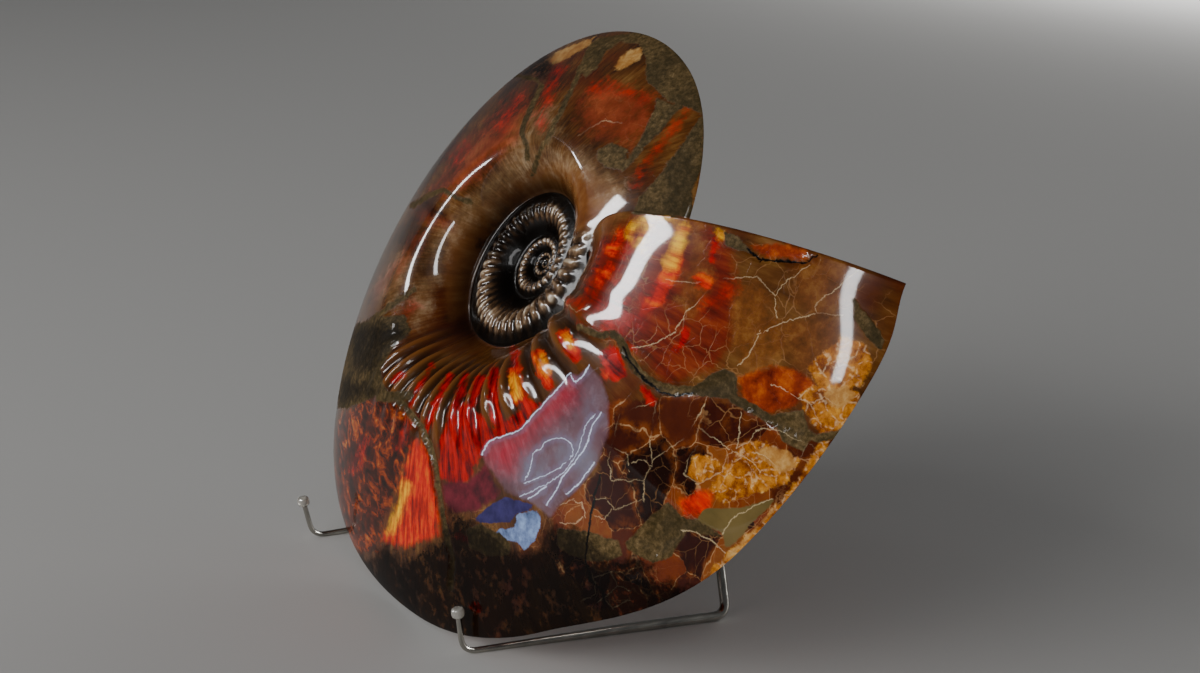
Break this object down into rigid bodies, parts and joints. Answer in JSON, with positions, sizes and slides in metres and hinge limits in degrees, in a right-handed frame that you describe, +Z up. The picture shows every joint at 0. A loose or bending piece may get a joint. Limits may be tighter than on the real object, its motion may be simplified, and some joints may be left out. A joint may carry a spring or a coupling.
{
  "type": "fossil ammonite",
  "caption": "Polished ribbed ammonite, flat-coiled and keel-edged with a narrow navel, leaning back in a bent-wire display stand with small capped prongs.",
  "frame": {"origin": "on the ground, under the middle of the whole object", "axes": "+Z up, -Y out of the exposed front flank, +X towards the side that the aperture points to"},
  "size_m": [0.2269, 0.088, 0.1529],
  "materials": {
    "shell": "polished fossil nacre and stone, opaque",
    "wire": "polished",
    "cap": "translucent gloss"
  },
  "bodies": {
    "root": {"ammonite": "shell", "stand_wire": "wire", "prong_cap_near": "cap", "prong_cap_far": "cap"}
  },
  "joints": []
}
